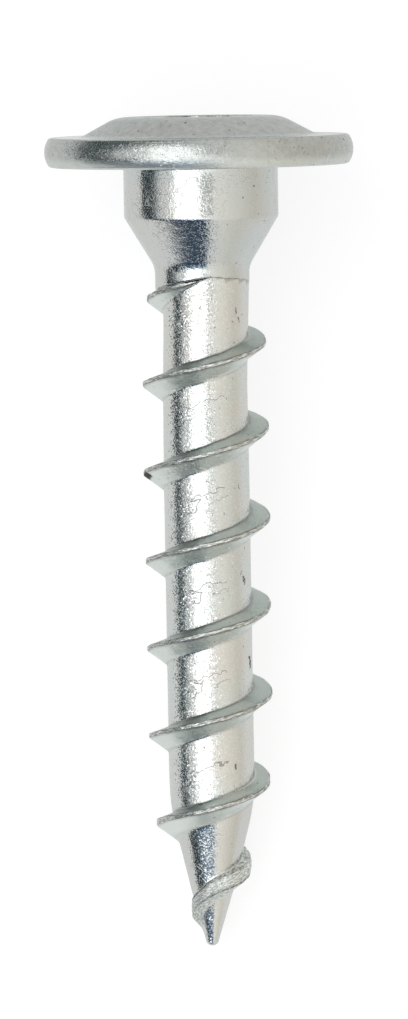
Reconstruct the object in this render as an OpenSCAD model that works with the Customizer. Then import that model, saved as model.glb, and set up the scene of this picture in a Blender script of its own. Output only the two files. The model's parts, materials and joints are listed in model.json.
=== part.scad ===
// Connector screw: a one-piece, cold-headed and thread-rolled timber screw with a wide flange head,
// a centring collar that tapers to the neck, a coarse right-hand thread and a plain point.
// The screw is drawn upright about its own axis, with the bearing face under the flange at z = 0 and
// the point downwards, and is then laid on the floor as it comes to rest, on its rim and its thread.

/* [Head] */
// Diameter of the flange
head_d = 19.6; // [17:0.1:24]
// Thickness of the flange
flange_t = 1.75; // [1.3:0.05:2.4]
// Radius of the rounded edge of the flange
rim_r = 0.7; // [0.3:0.05:0.8]
// Diameter of the raised crown where it leaves the flange
crown_foot_d = 14.7; // [13:0.1:16]
// Diameter of the flat top of the crown
crown_top_d = 10.3; // [9:0.1:11.5]
// Height of the crown above the flange
crown_h = 1.3; // [0.8:0.05:1.8]

/* [Driver socket] */
// Diameter across the tips of the six lobes
socket_d = 6.75; // [6:0.05:7.2]
// Diameter across the valleys between the lobes
socket_valley_d = 4.85; // [4.4:0.05:5.2]
// Depth of the straight wall of the socket
socket_depth = 3.4; // [2:0.1:3.8]

/* [Collar] */
// Diameter of the collar that centres the connector plate
collar_d = 9.8; // [9:0.1:11]
// Length of the straight part of the collar
collar_l = 3.25; // [2:0.05:4]
// Length of the taper from the collar to the neck
taper_l = 3.15; // [2.2:0.05:3.6]
// Diameter of the unrolled neck above the thread
neck_d = 6; // [5.8:0.05:6.6]
// Length of the neck
neck_l = 1; // [0.6:0.05:1.6]

/* [Thread] */
// Diameter over the thread
thread_d = 8.05; // [7.4:0.05:8.8]
// Diameter of the core between the threads
core_d = 5.45; // [5:0.05:5.7]
// Distance from one turn to the next
pitch = 5.6; // [4.4:0.1:6.6]
// Width of the flat crest
crest_w = 0.25; // [0.1:0.05:0.5]
// Slope of the flank that faces the head, from square to the axis
head_flank = 15; // [5:1:30]
// Slope of the flank that faces the point
point_flank = 35; // [25:1:42]

/* [Point] */
// Length from the bearing face to the tip
length = 50; // [44:0.5:70]
// Length of the tapered point
point_l = 9.5; // [7:0.1:12]
// Diameter of the blunt end of the point
tip_d = 0.8; // [0.4:0.05:1.2]

/* [Hidden] */
$fn = 96;

// Smoothness of the rounded corners and of the thread
corner_steps = 5;
turn_steps = 48;

// Small radii left by the heading and rolling tools
crown_foot_r = 1;
crown_edge_r = 0.3;
collar_edge_r = 0.4;
taper_foot_r = 1.6;
shoulder_r = 16;
step_l = 0.35;
socket_cone = 59;

// Radii and heights that follow from the driving sizes
head_r = head_d / 2;
rim_round = min(rim_r, 0.49 * flange_t);
head_top = flange_t + crown_h;
collar_r = collar_d / 2;
neck_r = neck_d / 2;
core_r = core_d / 2;
crest_r = thread_d / 2;
neck_end = collar_l + taper_l + neck_l;
point_start = length - point_l;
point_slope = (core_r - tip_d / 2) / point_l;
tip_r = 0.375 * tip_d;

// The thread leaves the neck on the upper side and fades out just short of the tip
thread_start = neck_end - 0.5;
thread_end = length - 1.4;
start_angle = -80;
run_in = 0.4 * pitch;
run_out = 1.35 * pitch;
run_out_swell = 0.5;
end_sink = 0.08;
base_share = 0.8;

function unit(v) = v / norm(v);

// Points of the arc of radius r that rounds the corner b between a and c
function corner(a, b, c, r) =
    let (
        u = unit(a - b),
        v = unit(c - b),
        half = acos(u * v) / 2,
        centre = b + unit(u + v) * r / sin(half),
        from = b + u * r / tan(half) - centre,
        to = b + v * r / tan(half) - centre,
        first = atan2(from.y, from.x),
        turn = (atan2(to.y, to.x) - first + 540) % 360 - 180
    )
    [for (i = [0:corner_steps])
        centre + r * [cos(first + turn * i / corner_steps), sin(first + turn * i / corner_steps)]];

// An outline of [x, y, radius] corners with each corner rounded to its radius
function rounded(outline) =
    let (n = len(outline), at = function (i) [outline[(i + n) % n].x, outline[(i + n) % n].y])
    [for (i = [0:n - 1])
        each (outline[i][2] > 0 ? corner(at(i - 1), at(i), at(i + 1), outline[i][2]) : [at(i)])];

// Radius of the core under the thread, at a distance s below the bearing face
function core_at(s) = core_r - point_slope * max(0, s - point_start);

// Radius of the thread's crest, which rises out of the neck and sinks away on the point
function crest_at(s) =
    let (
        rise = sin(90 * min(1, max(0, s - thread_start) / run_in)),
        fall = sin(90 * min(1, max(0, thread_end - s) / run_out))
    )
    core_at(s) + (crest_r - core_r) * rise * fall - end_sink * (1 - rise * fall);

// The crest swells towards the tip on the point, where the rolled metal piles up
function swell_at(s) = run_out_swell * min(1, max(0, 2 * (s - thread_end + run_out) / run_out));
function upper_edge(s) = s - crest_w / 2 + 0.3 * swell_at(s);
function lower_edge(s) = s + crest_w / 2 + swell_at(s);

// One section of the thread, as [radius, distance below the bearing face], round the ridge
function thread_section(s) =
    let (top = crest_at(s), base = base_share * core_at(s))
    [
        [base, upper_edge(s) - (top - base) * tan(head_flank)],
        [top, upper_edge(s)],
        [top, lower_edge(s)],
        [base, lower_edge(s) + (top - base) * tan(point_flank)]
    ];

// The whole turned outline of the blank, from the tip to the top of the head
outline = [
    [0, -length, 0],
    [tip_d / 2, -length, tip_r],
    [core_r, -point_start, shoulder_r],
    [core_r, -neck_end - step_l, 0],
    [neck_r, -neck_end, 0],
    [neck_r, -collar_l - taper_l, taper_foot_r],
    [collar_r, -collar_l, collar_edge_r],
    [collar_r, 0, 0],
    [head_r, 0, rim_round],
    [head_r, flange_t, rim_round],
    [crown_foot_d / 2, flange_t, crown_foot_r],
    [crown_top_d / 2, head_top, crown_edge_r],
    [0, head_top, 0]
];
profile = rounded(outline);

// The turned blank, with the seam of its turned faces on the side that lies on the floor
module blank() {
    rotate(90) rotate_extrude() polygon(profile);
}

// A ridge swept down the helix, with its base buried in the core
module thread() {
    steps = ceil((thread_end - thread_start) / pitch * turn_steps);
    sections = [for (i = [0:steps])
        let (
            s = thread_start + (thread_end - thread_start) * i / steps,
            angle = start_angle - 360 * (s - thread_start) / pitch
        )
        [for (p = thread_section(s)) [p.x * cos(angle), p.x * sin(angle), -p.y]]];
    sides = len(sections[0]);
    sweep = [for (i = [0:steps - 1]) for (j = [0:sides - 1])
        let (
            a = i * sides + j,
            b = i * sides + (j + 1) % sides,
            c = b + sides,
            d = a + sides
        )
        each [[a, b, c], [a, c, d]]];
    near_end = [for (j = [sides - 1:-1:0]) j];
    far_end = [for (j = [0:sides - 1]) steps * sides + j];
    polyhedron([for (section = sections) each section], concat([near_end, far_end], sweep), 6);
}

// Six-lobe socket with a conical floor, drawn downwards from the top of the head
module driver_socket() {
    valley_r = socket_d * 0.18;
    floor_h = socket_valley_d / 2 / tan(socket_cone);
    translate([0, 0, head_top - socket_depth])
        linear_extrude(socket_depth + 1)
            difference() {
                circle(d = socket_d);
                for (i = [0:5])
                    rotate(60 * i + 30) translate([socket_valley_d / 2 + valley_r, 0]) circle(valley_r);
            }
    translate([0, 0, head_top - socket_depth - floor_h])
        cylinder(floor_h, 0, socket_valley_d / 2);
}

module screw_upright() {
    difference() {
        union() {
            blank();
            thread();
        }
        driver_socket();
    }
}

// Tilt of the lying screw that lets the rim and a crest at distance s both touch the floor
function tilt_on(s) =
    let (a = head_r - rim_round - crest_at(s), b = lower_edge(s) + rim_round)
    acos(-rim_round / norm([a, b])) - atan2(b, a);

// The crests that pass over the floor, on the +Y side of the upright screw
first_floor_crest = thread_start + pitch * ((start_angle - 90 + 720) % 360) / 360;
rest_tilt = min([for (s = [first_floor_crest:pitch:thread_end]) tilt_on(s)]);
axis_height = (head_r - rim_round) * cos(rest_tilt) - rim_round * sin(rest_tilt) + rim_round;

// Ends of the lying screw along the floor, from the bearing face, so that it lies centred
head_reach = max([for (p = profile) p.y * cos(rest_tilt) + p.x * sin(rest_tilt)]);
tip_reach = min([for (p = profile) p.y * cos(rest_tilt) - p.x * sin(rest_tilt)]);

module screw() {
    color("gainsboro")
        translate([0, -(head_reach + tip_reach) / 2, axis_height])
            rotate([rest_tilt - 90, 0, 0]) screw_upright();
}

screw();
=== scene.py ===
import json
import math

import bpy
import numpy as np
from mathutils import Matrix


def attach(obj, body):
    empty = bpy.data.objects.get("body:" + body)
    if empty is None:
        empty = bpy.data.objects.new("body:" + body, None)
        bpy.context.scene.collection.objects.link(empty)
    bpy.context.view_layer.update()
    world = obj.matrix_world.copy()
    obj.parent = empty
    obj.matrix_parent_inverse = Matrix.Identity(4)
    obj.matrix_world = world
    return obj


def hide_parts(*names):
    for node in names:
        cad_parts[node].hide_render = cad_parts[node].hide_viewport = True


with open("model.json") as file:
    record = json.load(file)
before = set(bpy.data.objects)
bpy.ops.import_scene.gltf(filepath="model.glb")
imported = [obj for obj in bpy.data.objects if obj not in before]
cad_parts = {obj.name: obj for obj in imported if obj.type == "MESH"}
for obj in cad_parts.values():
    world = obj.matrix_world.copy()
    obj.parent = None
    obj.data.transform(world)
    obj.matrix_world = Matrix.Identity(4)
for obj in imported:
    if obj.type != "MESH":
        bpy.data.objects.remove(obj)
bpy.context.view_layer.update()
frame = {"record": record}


# The camera looks down on the lying screw, square to its shank and a little from the head's side, through a
# long lens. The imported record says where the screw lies: the bearing face under the flange is the zero of its
# own axis, and the axis runs from there to the tip.
MM = 0.001
bearing = next(m for m in frame["record"]["mounts"] if m["name"] == "bearing_face")
seat = np.array([0.0, bearing["pos_m"][1], bearing["pos_m"][2]])
to_head = -np.array(bearing["axis"], float)
to_right = np.array([1.0, 0.0, 0.0])
to_sky = np.array([0.0, -to_head[2], to_head[1]])

view_lean = math.radians(5.2)
view_roll = math.radians(-0.92)
view_distance = 345 * MM
view_px = 0.0637 * MM
photo_rows = 1019
film = 36
aim = seat - 21.9 * MM * to_head - 0.031 * MM * to_right
back = to_sky * math.cos(view_lean) + to_head * math.sin(view_lean)
level_up = to_head * math.cos(view_lean) - to_sky * math.sin(view_lean)
camera_x = to_right * math.cos(view_roll) + level_up * math.sin(view_roll)
camera_y = level_up * math.cos(view_roll) - to_right * math.sin(view_roll)
lens = bpy.data.cameras.new("long_lens")
lens.sensor_fit = "VERTICAL"
lens.sensor_height = film
lens.lens = film * (view_distance / view_px) / photo_rows
lens.clip_start = 0.01
lens.clip_end = 50
camera = bpy.data.objects.new("camera", lens)
bpy.context.collection.objects.link(camera)
eye = aim + back * view_distance
stand = np.stack([camera_x, camera_y, back, eye], 1)
camera.matrix_world = Matrix([*stand.tolist(), [0, 0, 0, 1]])
bpy.context.scene.camera = camera
bpy.context.scene.view_settings.view_transform = "Standard"


# A white table in an even white room. The room and the table are white to the eye and in the metal, and give
# a plain soft light; the screw's shadow stays on the table.
def seen_directly(tree):
    """1 for rays from the camera, from gloss and through glass, 0 for the diffuse light that they gather."""
    path = tree.nodes.new("ShaderNodeLightPath")
    gloss = tree.nodes.new("ShaderNodeMath")
    gloss.operation = "MAXIMUM"
    tree.links.new(path.outputs["Is Camera Ray"], gloss.inputs[0])
    tree.links.new(path.outputs["Is Glossy Ray"], gloss.inputs[1])
    glass = tree.nodes.new("ShaderNodeMath")
    glass.operation = "MAXIMUM"
    tree.links.new(gloss.outputs[0], glass.inputs[0])
    tree.links.new(path.outputs["Is Transmission Ray"], glass.inputs[1])
    return glass.outputs[0]


def between(tree, low, high, factor):
    """A number that goes from low to high as the factor goes from 0 to 1."""
    span = tree.nodes.new("ShaderNodeMapRange")
    span.inputs["To Min"].default_value = low
    span.inputs["To Max"].default_value = high
    tree.links.new(factor, span.inputs["Value"])
    return span.outputs["Result"]


room = bpy.data.worlds.new("white_room")
room.use_nodes = True
bpy.context.scene.world = room
room_light = room.node_tree.nodes["Background"]
room_light.inputs["Color"].default_value = (1, 1, 1, 1)
room_level = between(room.node_tree, 0.5, 1.0, seen_directly(room.node_tree))
room.node_tree.links.new(room_level, room_light.inputs["Strength"])

table_mesh = bpy.data.meshes.new("table")
table_mesh.from_pydata([(-6, -6, 0), (6, -6, 0), (6, 6, 0), (-6, 6, 0)], [], [(0, 1, 2, 3)])
table = bpy.data.objects.new("table", table_mesh)
bpy.context.collection.objects.link(table)
table_white = bpy.data.materials.new("table_white")
table_white.use_nodes = True
tree = table_white.node_tree
tree.nodes.clear()
matt = tree.nodes.new("ShaderNodeBsdfDiffuse")
matt.inputs["Color"].default_value = (0.27, 0.27, 0.27, 1)
glow = tree.nodes.new("ShaderNodeEmission")
tree.links.new(between(tree, 0.0, 0.81, seen_directly(tree)), glow.inputs["Strength"])
both = tree.nodes.new("ShaderNodeAddShader")
out = tree.nodes.new("ShaderNodeOutputMaterial")
tree.links.new(matt.outputs[0], both.inputs[0])
tree.links.new(glow.outputs[0], both.inputs[1])
tree.links.new(both.outputs[0], out.inputs["Surface"])
table_mesh.materials.append(table_white)


# One wide softbox, a lamp behind a white cloth, hangs over the screw's left side and lights it. Its
# reflection is the broad white band along the shank.
def toward(across, along):
    """Unit direction from the screw, turned across degrees to the right of the upward normal of its shank and
    then along degrees towards its head."""
    a, b = math.radians(across), math.radians(along)
    level = to_sky * math.cos(a) + to_right * math.sin(a)
    return level * math.cos(b) + to_head * math.sin(b)


softbox_level = 1.2
softbox_light = bpy.data.lights.new("softbox", "AREA")
softbox_light.shape = "RECTANGLE"
softbox_light.size = 2 * math.tan(math.radians(19))
softbox_light.size_y = 2 * math.tan(math.radians(35))
softbox_light.energy = softbox_level * 4 * softbox_light.size * softbox_light.size_y
softbox = bpy.data.objects.new("softbox", softbox_light)
bpy.context.collection.objects.link(softbox)
face = toward(-21, 2)
side = np.cross(to_head, face)
side /= np.linalg.norm(side)
top = np.cross(face, side)
middle = seat - 20 * MM * to_head + face * 1.0
hang = np.stack([side, top, face, middle], 1)
softbox.matrix_world = Matrix([*hang.tolist(), [0, 0, 0, 1]])


# Paper cards round the table that only the metal sees, as they stand round a small bright object: dark ones
# on the left, beyond the head and beyond the tip, a grey edge and a bright skirt beside the softbox, and warm
# white ones on the right.
def card(name, corners, colours):
    """A flat four-cornered card, seen only in reflections; its colour runs evenly from corner to corner."""
    mesh = bpy.data.meshes.new(name)
    mesh.from_pydata([tuple(c) for c in corners], [], [(0, 1, 2, 3)])
    tone = mesh.attributes.new("shade", "FLOAT_COLOR", "POINT")
    tone.data.foreach_set("color", np.array([(*c, 1) for c in colours], np.float32).ravel())
    paper = bpy.data.materials.new(name)
    paper.use_nodes = True
    paper.node_tree.nodes.clear()
    even = paper.node_tree.nodes.new("ShaderNodeEmission")
    read = paper.node_tree.nodes.new("ShaderNodeAttribute")
    read.attribute_name = "shade"
    end = paper.node_tree.nodes.new("ShaderNodeOutputMaterial")
    paper.node_tree.links.new(read.outputs["Color"], even.inputs["Color"])
    paper.node_tree.links.new(even.outputs[0], end.inputs["Surface"])
    mesh.materials.append(paper)
    obj = bpy.data.objects.new(name, mesh)
    bpy.context.collection.objects.link(obj)
    obj.visible_camera = False
    obj.visible_diffuse = False
    obj.visible_shadow = False
    obj.visible_transmission = False


card_lift, left_wall, head_wall, tip_wall = 0.0004, -1, 1.2, -1.1


def lying(*places):
    """Corners of a card that lies just above the table, from their x and y."""
    return [(x, y, card_lift) for x, y in places]


def at_left(*places):
    """Corners of a card that stands on the left of the table, from their y and z."""
    return [(left_wall, y, z) for y, z in places]


def at_head(*places):
    """Corners of a card that stands beyond the head, from their x and z."""
    return [(x, head_wall, z) for x, z in places]


def at_tip(*places):
    """Corners of a card that stands beyond the tip, from their x and z."""
    return [(x, tip_wall, z) for x, z in places]


def hung(distance, *places):
    """Corners of a card that hangs over the screw at a distance, from their turns across and along."""
    return [seat + distance * toward(a, b) for a, b in places]


night, shade, dusk = (0.055, 0.08, 0.088), (0.13, 0.16, 0.165), (0.85, 0.88, 0.89)
card("left_floor", lying((-1, -0.3), (-0.075, -0.045), (-0.075, 1.2), (-1, 1.2)), 4 * [night])
card("left_front", lying((-0.075, 0.05), (-0.035, 0.062), (-0.035, 1.2), (-0.075, 1.2)), 4 * [shade])
card("left_card", at_left((-1.1, 0), (0.1, 0), (0.1, 0.22), (-1.1, 0.22)), 4 * [night])
card("left_top", at_left((-0.42, 0.22), (0.1, 0.22), (0.1, 0.5), (-0.42, 0.5)), (night, night, dusk, dusk))
card("left_head", at_left((0.1, 0), (1.2, 0), (1.2, 0.65), (0.1, 0.22)), (night, shade, shade, night))
card("left_rise", at_left((0.1, 0.22), (1.2, 0.65), (1.2, 1.3), (0.1, 0.5)), (night, shade, dusk, dusk))
card("head_low", at_head((-1, 0), (-0.45, 0), (-0.45, 0.65), (-1, 0.65)), 4 * [shade])
card("head_high", at_head((-1, 0.65), (-0.45, 0.65), (-0.45, 1.3), (-1, 1.3)), (shade, shade, dusk, dusk))
card("head_side", at_head((-0.45, 0), (-0.1, 0), (-0.1, 0.65), (-0.45, 0.65)), (shade, dusk, dusk, shade))
card("head_end", at_head((-0.45, 0.65), (-0.1, 0.65), (-0.1, 1.3), (-0.45, 1.3)), (shade, dusk, dusk, dusk))
card("left_corner", at_left((-1.1, 0.22), (-0.42, 0.22), (-0.42, 0.5), (-1.1, 0.68)), 4 * [night])
navy, deep, haze, fog = (0.055, 0.088, 0.14), (0.05, 0.14, 0.24), (0.56, 0.7, 0.87), (0.7, 0.71, 0.71)
card("tip_low", at_tip((-1.1, 0), (0.14, 0), (0.15, 0.25), (-1.1, 0.25)), (fog, fog, navy, navy))
card("tip_card", at_tip((-1.1, 0.25), (0.15, 0.25), (0.17, 0.6), (-1.1, 0.6)), 4 * [navy])
card("tip_top", at_tip((-2.4, 0.6), (0.17, 0.6), (0.22, 1.45), (-2.4, 1.45)), (navy, deep, haze, haze))
edge_near, edge_far = (0.86, 0.865, 0.86), (0.6, 0.61, 0.6)
edge = hung(0.95, (-1.5, -5), (18, -5), (18, 45), (-1.5, 45))
card("softbox_edge", edge, (edge_near, edge_far, edge_far, edge_near))
skirt_near, skirt_far = (1.7, 1.7, 1.7), (1.27, 1.25, 1.2)
skirt = hung(0.95, (-2, -35), (30, -35), (30, -5), (-2, -5))
card("softbox_skirt", skirt, (skirt_near, skirt_far, skirt_far, skirt_near))
warm_near, warm_far = (1.3, 1.26, 1.18), (0.83, 0.79, 0.71)
warm = hung(1.2, (18.5, -55), (89.5, -55), (89.5, 55), (18.5, 55))
card("right_card", warm, (warm_near, warm_far, warm_far, warm_near))
pale, sand = (0.97, 0.965, 0.94), (0.92, 0.87, 0.79)
card("right_near", lying((0.02, -1), (0.09, -1), (0.09, 1), (0.02, 1)), (pale, sand, sand, pale))
card("right_floor", lying((0.09, -1), (1, -1), (1, 1), (0.09, 1)), 4 * [sand])


# The screw, headed cold from one length of steel wire and then thread-rolled, bright zinc plated all over.
# Its surface is a set of grids of columns round the axis: socket, head, collar and taper as turned rows, the
# thread as rows that follow the helix, and the tip as turned rows again, all joined into one closed skin.
columns = 180
turn = np.arange(columns + 1) * 2 * np.pi / columns

head_r, flange_t, rim_bulge = 9.79, 1.87, 0.32
crown_foot_r, crown_top_r, crown_h = 7.48, 5.2, 1.23
head_top = flange_t + crown_h
collar_r, collar_l, taper_l = 4.9, 3.25, 3.15
neck_r, neck_end = 3.0, 7.4
core_r, crest_r, pitch, crest_w = 2.725, 4.025, 5.6, 0.25
screw_l, point_start, tip_r = 50.0, 40.5, 0.4
point_slope = (core_r - tip_r) / (screw_l - point_start)


def arc(before, at, after, radius, steps):
    """Points of the arc of the given radius that rounds the corner at, coming from before, going to after."""
    before, at, after = (np.array(p, float) for p in (before, at, after))
    u = (before - at) / np.linalg.norm(before - at)
    v = (after - at) / np.linalg.norm(after - at)
    half = math.acos(np.clip(u @ v, -1, 1)) / 2
    centre = at + (u + v) / np.linalg.norm(u + v) * radius / math.sin(half)
    first = at + u * radius / math.tan(half) - centre
    last = at + v * radius / math.tan(half) - centre
    a = math.atan2(first[1], first[0])
    b = (math.atan2(last[1], last[0]) - a + 3 * math.pi) % (2 * math.pi) - math.pi
    t = a + b * np.linspace(0, 1, steps + 1)
    return centre + radius * np.stack([np.cos(t), np.sin(t)], 1)


def filled(points, gap):
    """The same line of points with its long straight stretches cut into steps no longer than gap."""
    step = np.linalg.norm(np.diff(points, axis=0), axis=1)
    count = np.maximum(1, np.ceil(step / gap).astype(int))
    place = np.concatenate([i + np.arange(n) / n for i, n in enumerate(count)] + [[len(points) - 1]])
    known = np.arange(len(points))
    return np.stack([np.interp(place, known, points[:, 0]), np.interp(place, known, points[:, 1])], 1)


# Head, collar and taper: one outline of radius and height, from the lip of the socket to the neck. The rim
# bulges between two small corners. The neck ends in a small square step, where the rolling dies began, that
# wavers.
ring_angle = np.radians([0, 90, 180, 190, 217, 246, 277, 299, 320, 345, 360])
neck_ring = np.interp(turn, ring_angle, [7.45, 7.8, 7.9, 7.84, 7.54, 7.28, 6.98, 7.07, 7.13, 7.31, 7.45])
neck_ring += (0.02 * np.sin(17 * turn) + 0.015 * np.sin(29 * turn + 1)) * np.clip((turn - 4.7) / 0.4, 0, 1)
bulge_r = (flange_t ** 2 / 4 + rim_bulge ** 2) / (2 * rim_bulge)
bulge_end = math.asin(flange_t / 2 / bulge_r)
lean_out, lean_down = math.sin(bulge_end), math.cos(bulge_end)
corner_r = head_r - rim_bulge
bulge = np.linspace(bulge_end - 0.12, 0.12 - bulge_end, 19)
lip_r, neck_row = 3.7, 6.87
outline = filled(np.concatenate([
    [(lip_r, head_top)],
    arc((lip_r, head_top), (crown_top_r, head_top), (crown_foot_r, flange_t), 2.6, 8),
    arc((crown_top_r, head_top), (crown_foot_r, flange_t), (head_r, flange_t), 1.4, 6),
    arc((crown_foot_r, flange_t), (corner_r, flange_t), (corner_r + lean_out, flange_t - lean_down), 0.3, 5),
    np.stack([head_r - bulge_r * (1 - np.cos(bulge)), flange_t / 2 + bulge_r * np.sin(bulge)], 1),
    arc((corner_r + lean_out, lean_down), (corner_r, 0), (collar_r, 0), 0.3, 5),
    arc((head_r, 0), (collar_r, 0), (collar_r, -collar_l), 0.2, 4),
    arc((collar_r, 0), (collar_r, -collar_l), (neck_r, -collar_l - taper_l), 0.4, 5),
    arc((collar_r, -collar_l), (neck_r, -collar_l - taper_l), (neck_r, -7), 1.6, 8),
    [(neck_r, -neck_row)],
]), 0.4)

# Six-lobe socket: six valley circles cut into the circle of the lobes, as a radius at each angle.
lobe_r, valley_r, floor_r, socket_depth = 3.375, 1.215, 2.425, 3.4
floor_drop = floor_r / math.tan(math.radians(59))
valley_at = floor_r + valley_r
off = turn % (np.pi / 3) - np.pi / 6
reach = np.maximum(valley_r ** 2 - (valley_at * np.sin(off)) ** 2, 0)
lobes = np.where(reach > 0, np.minimum(lobe_r, valley_at * np.cos(off) - np.sqrt(reach)), lobe_r)
wall_foot = head_top - socket_depth
share = np.array([0.0, 0.3, 0.65, 1.0])
socket_r = np.concatenate([
    floor_r * share[1:, None] * np.ones_like(turn),
    floor_r + (lobes - floor_r) * np.array([0.5, 1.0])[:, None],
    lobes * np.ones((5, 1)),
    lobes + np.array([0.03, 0.12])[:, None],
])
socket_z = np.concatenate([
    wall_foot - floor_drop * (1 - share[1:]),
    [wall_foot, wall_foot],
    wall_foot + 3.3 * np.array([0.08, 0.3, 0.55, 0.8, 0.97]),
    [head_top - 0.03, head_top],
])


# Thread: each turn of the helix has one set of rows, placed across the ridge and the plain core after it.
thread_start, thread_end = neck_end - 0.5, screw_l - 1.4
run_in, run_out, swell_most, end_sink = 0.4 * pitch, 1.35 * pitch, 0.5, 0.08
helix_zero = thread_start - pitch * 80 / 360
head_flank, point_flank = math.tan(math.radians(15)), math.tan(math.radians(35))


def core_at(s):
    """Radius of the plain core at s below the bearing face: an even shank, a trace thinner at its start, and
    the point's cone behind a long soft shoulder."""
    bow, foot = 16.0, 16.0 * math.tan(math.atan(point_slope) / 2)
    along = np.clip(s - point_start + foot, 0, bow * math.sin(math.atan(point_slope)))
    soft = bow - np.sqrt(bow ** 2 - along ** 2)
    past = np.maximum(0, s - point_start - foot * math.cos(math.atan(point_slope))) * point_slope
    full = 0.055 * np.clip((s - 39.2) / 1.5, 0, 1) - 0.12 * np.clip((s - 46.5) / 3, 0, 1)
    thinner = 0.045 * np.clip((20 - s) / 6, 0, 1) * np.clip((s - 8) / 3, 0, 1)
    return core_r - soft - past + full - thinner


def crest_at(s):
    """Radius of the crest: it rises out of the neck and sinks away on the point, both as a quarter sine."""
    rise = np.sin(np.pi / 2 * np.clip((s - thread_start) / run_in, 0, 1))
    fall = np.sin(np.pi / 2 * np.clip((thread_end - s) / run_out, 0, 1))
    plain = core_r - point_slope * np.maximum(0, s - point_start)
    return plain + (crest_r - core_r) * rise * fall - end_sink * (1 - rise * fall)


turns = np.arange(10)
ridge = helix_zero + pitch * (turns[:, None] - turn[None, :] / (2 * np.pi))
swell = swell_most * np.clip(2 * (ridge - thread_end + run_out) / run_out, 0, 1)
top_r = crest_at(ridge)
half_turns = helix_zero + pitch * (0.5 + 0.5 * np.arange(15))
drift = [
    -0.1, -0.06, -0.19, -0.22, -0.14, -0.05, -0.08, 0.0,
    -0.1, 0.01, -0.08, 0.05, -0.13, -0.06, -0.06,
]
waver = np.interp(ridge, half_turns, drift) - 0.34 * np.exp(-((ridge - 46.1) / 0.8) ** 2)
waver += 0.012 * np.sin(5.1 * ridge + 1.0) + 0.01 * np.sin(13.7 * ridge + 2.0)
upper = ridge - crest_w / 2 - 0.4 * swell + waver
lower = ridge + crest_w / 2 + swell + waver
tall = np.maximum(0, top_r - core_at(ridge))
low_flank = point_flank * (1 + 0.35 * np.clip((ridge - 46.3) / 0.8, 0, 1))
upper_root, lower_root = upper - tall * head_flank, lower + tall * low_flank
next_root = np.concatenate([upper_root[1:], upper_root[-1:] + pitch])

climb = np.array([0.0, 0.1, 0.22, 0.36, 0.52, 0.68, 0.84, 0.95])
across = np.array([0.0, 0.15, 0.35, 0.5, 0.65, 0.85, 1.0])
clear_above, clear_below = 0.32, 0.38
rows = [upper_root - d for d in (clear_above, 0.14, 0.05)]
rows += [upper_root + (upper - upper_root) * w for w in climb]
rows += [upper + (lower - upper) * w for w in across]
rows += [lower_root + (lower - lower_root) * w for w in climb[::-1]]
rows += [lower_root + d for d in (0.06, 0.18, clear_below)]
plain = np.linspace(0, 1, 11)[1:-1]
plain_l = next_root - clear_above - lower_root - clear_below
rows += [lower_root + clear_below + plain_l * w for w in plain]
s_grid = np.stack(rows, 1)
per_turn = s_grid.shape[1]

# The ridge falls from its crest along both flanks and meets the core in a small fillet; the crest is slightly
# rounded, with the fine fold that rolling leaves along its middle.
over = np.where(s_grid < upper[:, None], (upper[:, None] - s_grid) / head_flank, 0)
over = over + np.where(s_grid > lower[:, None], (s_grid - lower[:, None]) / low_flank[:, None], 0)
middle_of = (s_grid - (upper + lower)[:, None] / 2) / np.maximum((lower - upper)[:, None] / 2, 1e-6)
inside = np.clip(1 - np.abs(middle_of), 0, 1) > 0
fold = np.exp(-(middle_of / 0.22) ** 2) * inside
fold = fold * (0.5 + 0.5 * np.sin(3.9 * ridge + 0.8) * np.sin(1.7 * ridge))[:, None]
rounding = (0.03 + 0.13 * swell / swell_most)[:, None]
rounding = rounding * np.minimum(1, np.abs(middle_of)) ** 3 * (over == 0)
low = [0.12, 0.17, 0.04, 0.0, 0.01, 0.0, 0.02, 0.05, 0.03, 0.05, 0.05, 0.27, 0.05, 0.06, -0.12]
worn = np.interp(ridge, half_turns, low)
worn += 0.015 * (1 + np.sin(6.3 * ridge)) * (0.5 + 0.5 * np.sin(17.0 * ridge))
ridge_r = (top_r - worn)[:, None] - over - np.where(over == 0, rounding, 0.03) - 0.05 * fold
base_r = core_at(s_grid)
fillet = 0.13
gap_r = ridge_r - base_r
thread_r = np.minimum(base_r + (gap_r + np.sqrt(gap_r ** 2 + fillet ** 2)) / 2, crest_r)
thread_r = np.where(tall[:, None] > 0.001, thread_r, base_r)
# Where the first turn leaves the neck there is no groove between them: the neck's metal runs on to the ridge.
gap_to_ridge = upper[1] - neck_ring
run_on = neck_r - 0.05 + 0.24 * np.maximum(0, -np.cos(turn))
run_on -= 0.4 * np.clip((gap_to_ridge - 0.5) / 0.3, 0, 1)
run_on = np.where(gap_to_ridge > -0.05, run_on, 0)
thread_r = np.maximum(thread_r, np.where((s_grid > neck_ring) & (s_grid < upper[1]), run_on, 0))
step_foot = np.maximum(core_r, run_on - 0.02)
step_r = np.stack([neck_r + 0 * turn, neck_r - 0.025 + 0 * turn, neck_r - 0.06 + 0 * turn, step_foot])
step_z = -neck_ring - np.array([-0.12, -0.05, 0.0, 0.01])[:, None]
head_rr = np.concatenate([socket_r, outline[:, :1] * np.ones_like(turn), step_r])
head_zz = np.concatenate([np.concatenate([socket_z, outline[:, 1]])[:, None] * np.ones_like(turn), step_z])

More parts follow.
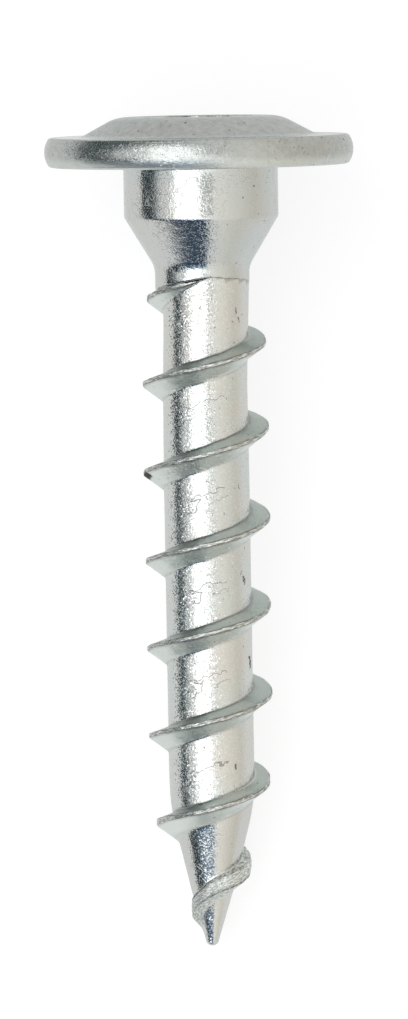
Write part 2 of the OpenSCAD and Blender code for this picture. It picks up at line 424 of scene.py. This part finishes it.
# Masks from 0 to 1 of the crests, both flanks, the crests' brows, the roots and the last ridge. Along
# the front of each turn the upper flank takes the lower flank's lighter tone: painted light, a painted
# reflection.
crest_mask = np.clip(1 - over / 0.12, 0, 1) * (tall[:, None] > 0.05)
above = s_grid < (upper + lower)[:, None] / 2
flank_mask = np.clip((thread_r - base_r) / 0.15, 0, 1) * (1 - crest_mask) * above
under_mask = np.clip((thread_r - base_r) / 0.15, 0, 1) * (1 - crest_mask) * ~above
# Painted reflection: along the front of each turn the upper flank gets the lower flank's lighter tone.
painted_flank_light = 0.95 * flank_mask * np.interp(turn, np.radians([264, 282, 303, 322]), [0.0, 1.0, 1.0, 0.0])
flank_mask, under_mask = flank_mask - painted_flank_light, under_mask + painted_flank_light
on_crest, off_crest = np.clip((np.abs(middle_of) - 0.55) / 0.35, 0, 1), np.clip(1 - over / 0.1, 0, 1)
brow_mask = np.where(over == 0, on_crest, off_crest)
brow_mask = brow_mask * (tall[:, None] > 0.2) * (1 - 0.9 * swell / swell_most)[:, None]
root_mask = np.exp(-((s_grid - upper_root[:, None]) / 0.05) ** 2)
root_mask += 0.3 * np.exp(-((s_grid - lower_root[:, None]) / 0.08) ** 2)
root_mask = root_mask * (tall[:, None] > 0.3) * (1 - swell / swell_most)[:, None]
end_mask = np.clip((thread_r - base_r) / 0.1, 0, 1) * np.clip(2 * swell / swell_most - 1, 0, 1)[:, None]
s_rows = s_grid.reshape(-1, columns + 1)
r_rows = thread_r.reshape(-1, columns + 1)

# Tip: the last of the cone and its small rounded end.
tip_ring = 49.1
tip_outline = filled(np.concatenate([
    [(core_at(np.array(tip_ring)), tip_ring)],
    arc((core_at(np.array(tip_ring)), tip_ring), (tip_r - 0.07, screw_l), (0, screw_l), 0.4, 8),
    [(0.02, screw_l)],
]), 0.12)


def placed(radius, height, angle, aside):
    """Points at a radius and an angle round the screw's axis, at a height above the bearing face and moved
    aside to the right, in metres; the slim end of the point bends down a little towards the table."""
    bend = 0.07 * np.clip((-height - 46.5) / 3, 0, 1)
    x, y = radius * np.cos(angle) + aside, radius * np.sin(angle) + bend
    return seat + MM * (x[..., None] * to_right - y[..., None] * to_sky + height[..., None] * to_head)


head_n = len(head_rr)

# The rolled shank stands a little to the right of the head and runs back towards it, as the dies left it.
below = np.arange(head_n)[:, None] >= len(socket_r) + np.argmax(outline[:, 1] < 0.3)
head_aside = 0.095 * below * np.clip((6.5 - head_rr) / 1.2, 0, 1)
head_aside[-1] = 0.34


def shank_aside(s):
    """How far the rolled shank stands to the right at s below the bearing face."""
    known = [7.4, 8.2, 10, 12, 14, 17, 40, 46, 50]
    return np.interp(s, known, [0.34, 0.31, 0.28, 0.21, 0.17, 0.165, 0.2, 0.13, 0.07])


# Corner numbers of each grid: the last column is the first again, one turn up on the thread; thread rows that
# run past the neck ring or the tip ring end on it.
head_id = np.arange(head_n * columns).reshape(head_n, columns)
head_id = np.concatenate([head_id, head_id[:, :1]], 1)
thread_n = len(s_rows)
thread_id = head_n * columns + np.arange(thread_n * columns).reshape(thread_n, columns)
tip_n = len(tip_outline)
tip_id = (head_n + thread_n) * columns + np.arange(tip_n * columns).reshape(tip_n, columns)
tip_id = np.concatenate([tip_id, tip_id[:, :1]], 1)
thread_id = np.where(s_rows[:, :-1] <= neck_ring[:-1] + 0.03, head_id[-1, :-1], thread_id)
thread_id = np.where(s_rows[:, :-1] >= tip_ring, tip_id[0, :-1], thread_id)
wrapped = np.concatenate([np.full(per_turn, head_id[-1, 0]), thread_id[:-per_turn, 0]])
thread_id = np.concatenate([thread_id, wrapped[:, None]], 1)
socket_pole = (head_n + thread_n + tip_n) * columns
tip_pole = socket_pole + 1

tip_rr, tip_ss = (tip_outline[:, i:i + 1] * np.ones(columns) for i in (0, 1))
pole_z = np.array([wall_foot - floor_drop, -screw_l])
pole_aside = np.array([0, shank_aside(screw_l)])
points = np.concatenate([
    placed(head_rr[:, :-1], head_zz[:, :-1], turn[:-1], head_aside[:, :-1]).reshape(-1, 3),
    placed(r_rows[:, :-1], -s_rows[:, :-1], turn[:-1], shank_aside(s_rows[:, :-1])).reshape(-1, 3),
    placed(tip_rr, -tip_ss, turn[:-1], shank_aside(tip_ss)).reshape(-1, 3),
    placed(np.zeros(2), pole_z, np.zeros(2), pole_aside),
])


def skin(number, u, v):
    """Two triangles for each cell of a grid of corner numbers, and their corners' u and v."""
    a, b, c, d = number[:-1, :-1], number[1:, :-1], number[1:, 1:], number[:-1, 1:]
    uv = np.stack([u, v], 2)
    p, q, r, t = uv[:-1, :-1], uv[1:, :-1], uv[1:, 1:], uv[:-1, 1:]
    face = [np.stack(three, 2).reshape(-1, 3) for three in ((a, b, c), (a, c, d))]
    corner = [np.stack(three, 2).reshape(-1, 3, 2) for three in ((p, q, r), (p, r, t))]
    return np.concatenate(face), np.concatenate(corner)


def fan(pole, ring, turned_over):
    """Triangles from one pole to a ring of corner numbers."""
    pair = (ring[1:], ring[:-1]) if turned_over else (ring[:-1], ring[1:])
    face = np.stack([np.full(columns, pole), *pair], 1)
    return face, np.zeros((columns, 3, 2))


round_share = turn / (2 * np.pi)
grids = [
    skin(head_id, round_share + 0 * head_rr, head_zz / pitch),
    skin(thread_id, ridge.repeat(per_turn, 0) / pitch, s_rows / pitch),
    skin(tip_id, round_share * np.ones((tip_n, 1)), tip_outline[:, 1:] / pitch * np.ones_like(turn)),
    fan(socket_pole, head_id[0], False),
    fan(tip_pole, tip_id[-1], True),
]
faces = np.concatenate([g[0] for g in grids])
corners = np.concatenate([g[1] for g in grids])
# Corners that share one place become one, and cells that are left without an area go.
grid_step = 0.0002 * MM
_, first, same = np.unique(np.round(points / grid_step), axis=0, return_index=True, return_inverse=True)
faces = first[same.ravel()[faces]]
whole = (faces[:, 0] != faces[:, 1]) & (faces[:, 1] != faces[:, 2]) & (faces[:, 0] != faces[:, 2])
faces, corners = faces[whole], corners[whole]
used, faces = np.unique(faces, return_inverse=True)
faces = faces.reshape(-1, 3)


def stored(head_part, thread_part, tip_part):
    """One value a corner: the head's own grid, the thread's own grid, and one value for the tip."""
    on_head = head_part * np.ones((head_n, columns))
    on_thread = (thread_part * np.ones_like(s_grid)).reshape(-1, columns + 1)[:, :-1]
    return np.concatenate([on_head.ravel(), on_thread.ravel(), np.full(tip_n * columns + 2, tip_part)])


step_dark = np.concatenate([np.zeros(head_n - 3), [0.15, 0.6, 0.7]])[:, None]
step_dark = step_dark * np.interp(turn[:-1], np.radians([180, 265, 290]), [0.25, 0.35, 1.0])
from_corner = (head_rr - corner_r - 0.02) ** 2 + (head_zz - flange_t) ** 2
rim_corner = 0.6 * np.exp(-from_corner / 0.06 ** 2)[:, :-1]
crown_skin = np.clip((head_zz[:, :-1] - flange_t + 0.1) / 0.25, 0, 1)
rim_skin = np.clip((head_rr[:, :-1] - 8.8) / 0.4, 0, 1)
taper_skin = 0.16 * np.clip((-head_zz[:, :-1] - collar_l) / 0.3, 0, 1)
# Painted light: towards the rim's lower edge the head's darker skin gives way to the lighter rolled and
# lower-flank tones.
foot = np.clip((0.75 - head_zz[:, :-1]) / 0.4, 0, 1)
painted_rim_foot_light = rim_skin * foot
shank_skin = np.interp(s_grid, [39.5, 41, 45, 47], [1.0, 0.15, 0.25, 0.8])
masks = {
    "headed": stored(np.maximum(crown_skin, 0.72 * rim_skin * (1 - 0.6 * foot)), 0, 0),
    "rolled": stored(taper_skin + 0.28 * painted_rim_foot_light, shank_skin, 0.8),
    "crest": stored(0, crest_mask, 0),
    "brow": stored(0, brow_mask, 0),
    "flank": stored(0, flank_mask, 0),
    "under": stored(0.6 * painted_rim_foot_light, under_mask, 0),
    "root": stored(np.maximum(step_dark, rim_corner), root_mask, 0),
    "rope": stored(0, end_mask, 0),
}

screw_mesh = bpy.data.meshes.new("connector_screw")
screw_mesh.vertices.add(len(used))
screw_mesh.vertices.foreach_set("co", points[used].ravel())
screw_mesh.loops.add(3 * len(faces))
screw_mesh.loops.foreach_set("vertex_index", faces.ravel())
screw_mesh.polygons.add(len(faces))
screw_mesh.polygons.foreach_set("loop_start", 3 * np.arange(len(faces)))
screw_mesh.polygons.foreach_set("loop_total", np.full(len(faces), 3))
screw_mesh.update(calc_edges=True)
screw_mesh.polygons.foreach_set("use_smooth", np.ones(len(faces), bool))
helix_map = screw_mesh.uv_layers.new(name="helix")
helix_map.data.foreach_set("uv", corners.reshape(-1))
for name, values in masks.items():
    mask = screw_mesh.attributes.new(name, "FLOAT", "POINT")
    mask.data.foreach_set("value", values[used].astype(np.float32))
screw_mesh.set_sharp_from_angle(angle=math.radians(50))
screw_mesh.validate()
screw = bpy.data.objects.new("connector_screw", screw_mesh)
bpy.context.collection.objects.link(screw)

# Bright zinc over rolled steel: a clear, slightly blue metal with a fine grain from the plating, hairline
# folds and specks from the rolling, worn bright crests and a duller skin where the head was formed.
zinc = bpy.data.materials.new("bright_zinc")
zinc.use_nodes = True
tree = zinc.node_tree
metal = tree.nodes["Principled BSDF"]
metal.inputs["Specular Tint"].default_value = (0.86, 0.88, 0.87, 1)
place = tree.nodes.new("ShaderNodeTexCoord").outputs["Object"]


def noise(size_mm, detail, rough=0.5, where=place):
    """Soft noise with features of the given size on the screw's own coordinates."""
    node = tree.nodes.new("ShaderNodeTexNoise")
    node.inputs["Scale"].default_value = 1 / (size_mm * MM)
    node.inputs["Detail"].default_value = detail
    node.inputs["Roughness"].default_value = rough
    tree.links.new(where, node.inputs["Vector"])
    return node.outputs["Fac"]


def ramp(value, low, high, to_low=0.0, to_high=1.0, smooth=True):
    """The value mapped from low..high to to_low..to_high and held at the ends, smoothly or straight."""
    node = tree.nodes.new("ShaderNodeMapRange")
    node.interpolation_type = "SMOOTHSTEP" if smooth else "LINEAR"
    node.inputs["From Min"].default_value = low
    node.inputs["From Max"].default_value = high
    node.inputs["To Min"].default_value = to_low
    node.inputs["To Max"].default_value = to_high
    tree.links.new(value, node.inputs["Value"])
    return node.outputs["Result"]


def maths(kind, a, b):
    """One sum on two values, each a socket or a number."""
    node = tree.nodes.new("ShaderNodeMath")
    node.operation = kind
    for socket, value in zip(node.inputs, (a, b)):
        if isinstance(value, (int, float)):
            socket.default_value = value
        else:
            tree.links.new(value, socket)
    return node.outputs[0]


def mixed(factor, one, other):
    """One colour turning into another as the factor goes from 0 to 1."""
    node = tree.nodes.new("ShaderNodeMix")
    node.data_type = "RGBA"
    tree.links.new(factor, node.inputs["Factor"])
    for socket, value in ((node.inputs[6], one), (node.inputs[7], other)):
        if isinstance(value, tuple):
            socket.default_value = (*value, 1)
        else:
            tree.links.new(value, socket)
    return node.outputs[2]


def painted(name):
    """A mask stored on the screw's surface."""
    node = tree.nodes.new("ShaderNodeAttribute")
    node.attribute_name = name
    return node.outputs["Fac"]


def vector(kind, a, b):
    """One sum on two vectors, each a socket or three numbers."""
    node = tree.nodes.new("ShaderNodeVectorMath")
    node.operation = kind
    for socket, value in zip(node.inputs, (a, b)):
        if isinstance(value, bpy.types.NodeSocket):
            tree.links.new(value, socket)
        else:
            socket.default_value = value
    return node.outputs["Value" if kind in ("DOT_PRODUCT", "DISTANCE") else "Vector"]


def plane(x, y):
    """A flat place from two values."""
    node = tree.nodes.new("ShaderNodeCombineXYZ")
    tree.links.new(x, node.inputs["X"])
    tree.links.new(y, node.inputs["Y"])
    return node.outputs[0]


def threefold(value):
    """One value as all three parts of a vector."""
    node = tree.nodes.new("ShaderNodeCombineXYZ")
    for socket in node.inputs:
        tree.links.new(value, socket)
    return node.outputs[0]


def stroke(where, points, wide):
    """Mask of a broken line through the points: 1 within half of the width from the nearest of its pieces."""
    far = None
    for one, other in zip(points, points[1:]):
        span = np.subtract(other, one)
        start = vector("SUBTRACT", where, one)
        share = ramp(vector("DOT_PRODUCT", start, span / (span @ span)), 0.0, 1.0, smooth=False)
        on_line = vector("MULTIPLY", threefold(share), span)
        near = vector("DISTANCE", start, on_line)
        far = near if far is None else maths("MINIMUM", far, near)
    return ramp(far, 0.25 * wide, 0.6 * wide, 1.0, 0.0)


helix = tree.nodes.new("ShaderNodeUVMap")
helix.uv_map = "helix"
split = tree.nodes.new("ShaderNodeSeparateXYZ")
tree.links.new(helix.outputs["UV"], split.inputs[0])
turn_at, height_at = split.outputs["X"], split.outputs["Y"]
past_ridge = maths("MULTIPLY", maths("SUBTRACT", height_at, turn_at), pitch)
run = plane(maths("MULTIPLY", turn_at, 2.8), past_ridge)

headed, rolled, crest, brow, flank, under, root, rope = (painted(name) for name in masks)
bare = maths("SUBTRACT", maths("SUBTRACT", 1.0, rolled), headed)
grain = noise(0.11, 1)
pits = ramp(noise(0.12, 1), 0.5, 0.66)
peel = noise(0.42, 2)
swell_field = noise(1.3, 2)
cloud = noise(2.6, 3)
tint = noise(6.0, 2)
specks = ramp(maths("ADD", noise(0.3, 2, 0.55), maths("MULTIPLY", headed, 0.03)), 0.7, 0.76)
streak = noise(0.06 / MM, 2, 0.6, run)
veins = ramp(maths("ABSOLUTE", maths("SUBTRACT", noise(1.1, 2), 0.5), 0), 0.0, 0.022, 1.0, 0.0)
veins = maths("MULTIPLY", veins, maths("MULTIPLY", ramp(noise(1.5, 1), 0.46, 0.56), bare))
off_crown = maths("MULTIPLY", headed, ramp(headed, 0.74, 0.98, 1.0, 0.35))
dabs = maths("MULTIPLY", ramp(noise(0.34, 3, 0.6), 0.57, 0.67), off_crown)
broken = maths("MULTIPLY", ramp(streak, 0.34, 0.46), ramp(noise(0.1, 1), 0.3, 0.5, 0.3, 1.0))
brow_line = maths("MULTIPLY", brow, broken)

# Fine folds of the rolling: where the dies closed, every turn of the core has the same thin line and a hook
# below it. They stand a little further apart than the turns of the thread, and fade towards both ends.
round_turn = maths("FRACT", maths("SUBTRACT", turn_at, helix_zero / pitch - 10), 0)
fold_x = maths("MULTIPLY", maths("SUBTRACT", 0.279, round_turn), 2 * math.pi * core_r)
fold_y = maths("SUBTRACT", past_ridge, maths("MULTIPLY", maths("SUBTRACT", turn_at, 4.29), 0.21))
bent_x = maths("ADD", fold_x, ramp(noise(0.6, 1), 0.25, 0.75, -0.14, 0.14))
bent_y = maths("ADD", fold_y, ramp(noise(0.5, 1), 0.25, 0.75, -0.14, 0.14))
fold_plane = plane(bent_x, bent_y)
thin = [(-0.9, 2.48, 0), (-0.2, 2.63, 0), (0.6, 2.56, 0), (1.25, 2.66, 0), (1.7, 2.74, 0)]
line = stroke(fold_plane, thin, 0.075)
hook = [(-0.6, 2.7, 0), (0.1, 2.86, 0), (-0.14, 3.12, 0), (-0.17, 3.42, 0), (-0.72, 3.5, 0)]
hooks = stroke(fold_plane, hook, 0.1)
beside = stroke(fold_plane, [(0.7, 3.32, 0), (1.28, 3.36, 0), (1.75, 3.3, 0)], 0.075)
early, late = ramp(turn_at, 1.9, 2.2), ramp(turn_at, 6.6, 6.8, 1.0, 0.0)
clear = maths("MULTIPLY", ramp(turn_at, 2.75, 2.95), ramp(turn_at, 5.7, 5.9, 1.0, 0.0))
line = maths("MULTIPLY", line, maths("MULTIPLY", early, late))
line = maths("MULTIPLY", line, ramp(noise(0.4, 1), 0.3, 0.45, 0.5, 1.0))
hooks = maths("MULTIPLY", maths("MAXIMUM", hooks, maths("MULTIPLY", beside, 0.6)), clear)
folds = maths("MULTIPLY", maths("MAXIMUM", line, hooks), rolled)
rough_patch = maths("MULTIPLY", stroke(fold_plane, [(-0.9, 3.0, 0), (-0.3, 3.1, 0)], 1.1), rolled)


jitter = tree.nodes.new("ShaderNodeTexNoise")
jitter.inputs["Scale"].default_value = 1 / (0.13 * MM)
tree.links.new(place, jitter.inputs["Vector"])
jitter = vector("SUBTRACT", jitter.outputs["Color"], (0.5, 0.5, 0.5))


def scar(wide, *ends, stray=1.6):
    """Mask of a ragged bruise along a line of places, each s below the bearing face, degrees round and
    radius; its edge strays by the given share of its width."""
    line_of = [
        placed(np.array(r), np.array(-s), np.array(math.radians(a)), shank_aside(s))
        for s, a, r in ends
    ]
    ragged = vector("ADD", place, vector("MULTIPLY", jitter, 3 * (stray * wide * MM,)))
    return stroke(ragged, line_of, wide * MM)


chip = scar(0.62, (19.78, 178, 3.8), (19.64, 187, 3.8), (19.53, 194, 3.8), stray=0.3)
scars = scar(0.3, (31.3, 338, 2.7), (31.6, 340, 2.7), (31.9, 341, 2.7))
for wide, *ends in (
    (0.26, (26.1, 325, 2.7), (26.45, 327, 2.7)),
    (0.1, (25.7, 321, 2.7), (25.9, 319, 2.7)),
    (0.2, (9.05, 314, 2.66), (9.25, 315, 2.66)),
    (0.15, (9.6, 319, 2.66), (9.85, 321, 2.66)),
    (0.1, (9.0, 264, 2.66), (9.15, 265, 2.66)),
    (0.13, (20.1, 318, 2.68), (20.3, 317, 2.68), (20.45, 319, 2.68)),
    (0.17, (38.0, 304, 2.7), (38.25, 304, 2.7)),
):
    scars = maths("MAXIMUM", scars, maths("MULTIPLY", scar(wide, *ends), 0.8))
scars = maths("MAXIMUM", scars, chip)

# Colour: each mask in turn lays its own tone over what is there. Roughness and height are sums of the masks.
colour = mixed(ramp(tint, 0.38, 0.62), (0.51, 0.54, 0.537), (0.535, 0.54, 0.52))
rolled_skin = mixed(ramp(cloud, 0.36, 0.6), (0.655, 0.685, 0.655), (0.7, 0.665, 0.63))
crest_skin = mixed(ramp(streak, 0.42, 0.54), (0.7, 0.71, 0.685), (0.33, 0.34, 0.32))
rope_skin = mixed(ramp(streak, 0.44, 0.56), (0.76, 0.785, 0.76), (0.37, 0.385, 0.365))
head_skin = maths("MULTIPLY", headed, ramp(peel, 0.3, 0.7, 0.6, 1.0))
for mask, share, tone in (
    (rolled, 0.3, rolled_skin),
    (crest, 1.0, crest_skin),
    # Painted shade on the upper flanks, which are darker, and painted light on the lower flanks, which are
    # lighter.
    (flank, 0.8, (0.39, 0.445, 0.415)),
    (under, 0.85, (0.69, 0.735, 0.705)),
    (head_skin, 1.0, (0.36, 0.372, 0.36)),
    (dabs, 0.4, (0.17, 0.175, 0.17)),
    (rope, 0.9, rope_skin),
    # Darker along the thread roots, the neck step and the rim's top corner: partly grime in these creases,
    # partly painted shade.
    (root, 0.78, (0.13, 0.135, 0.13)),
    (brow_line, 0.8, (0.1, 0.1, 0.09)),
    (specks, 0.7, (0.15, 0.15, 0.14)),
    (folds, 0.62, (0.13, 0.13, 0.125)),
    (scars, 0.95, (0.012, 0.012, 0.011)),
):
    colour = mixed(mask if share == 1.0 else maths("MULTIPLY", mask, share), colour, tone)
tree.links.new(colour, metal.inputs["Base Color"])
tree.links.new(maths("SUBTRACT", 1.0, scars), metal.inputs["Metallic"])
marks = maths("MAXIMUM", specks, scars)
gloss = ramp(cloud, 0.3, 0.7, 0.08, 0.12)
for mask, share in (
    (headed, 0.22),
    (veins, 0.35),
    (rolled, 0.06),
    (crest, 0.12),
    (rope, 0.25),
    (maths("ADD", flank, under), 0.24),
    (marks, 0.42),
):
    gloss = maths("ADD", gloss, maths("MULTIPLY", mask, share))
tree.links.new(gloss, metal.inputs["Roughness"])
ripple = maths("SUBTRACT", streak, maths("MULTIPLY", rope, 0.5))
height = maths("MULTIPLY", grain, 0.5)
for mask, share in (
    (pits, -0.45),
    (peel, 0.5),
    (swell_field, 1.6),
    (maths("MULTIPLY", ripple, crest), 5.0),
    (veins, 0.5),
    (marks, -1.2),
    (folds, -1.0),
):
    height = maths("ADD", height, maths("MULTIPLY", mask, share))
bump = tree.nodes.new("ShaderNodeBump")
bump.inputs["Strength"].default_value = 1.0
bump.inputs["Distance"].default_value = 0.011 * MM
tree.links.new(height, bump.inputs["Height"])

# The plating's crystals: each small cell leans its own way, most a little and some far, so that the edges of
# reflections break up into bright and dark points.
crystals = tree.nodes.new("ShaderNodeTexVoronoi")
crystals.inputs["Scale"].default_value = 1 / (0.078 * MM)
tree.links.new(place, crystals.inputs["Vector"])
leaning = vector("SUBTRACT", crystals.outputs["Color"], (0.5, 0.5, 0.5))
chance = tree.nodes.new("ShaderNodeSeparateXYZ")
tree.links.new(crystals.outputs["Color"], chance.inputs[0])
amount = maths("ADD", maths("MULTIPLY", rolled, 0.173), maths("MULTIPLY", headed, 0.093))
amount = maths("ADD", maths("ADD", amount, 0.037), maths("MULTIPLY", rough_patch, 0.15))
amount = maths("MULTIPLY", amount, ramp(chance.outputs["Z"], 0.5, 1.0, 0.55, 2.3))
leant = vector("ADD", bump.outputs["Normal"], vector("MULTIPLY", leaning, threefold(amount)))
tree.links.new(vector("NORMALIZE", leant, (0, 0, 0)), metal.inputs["Normal"])
screw_mesh.materials.append(zinc)
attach(screw, "root")
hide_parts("screw")
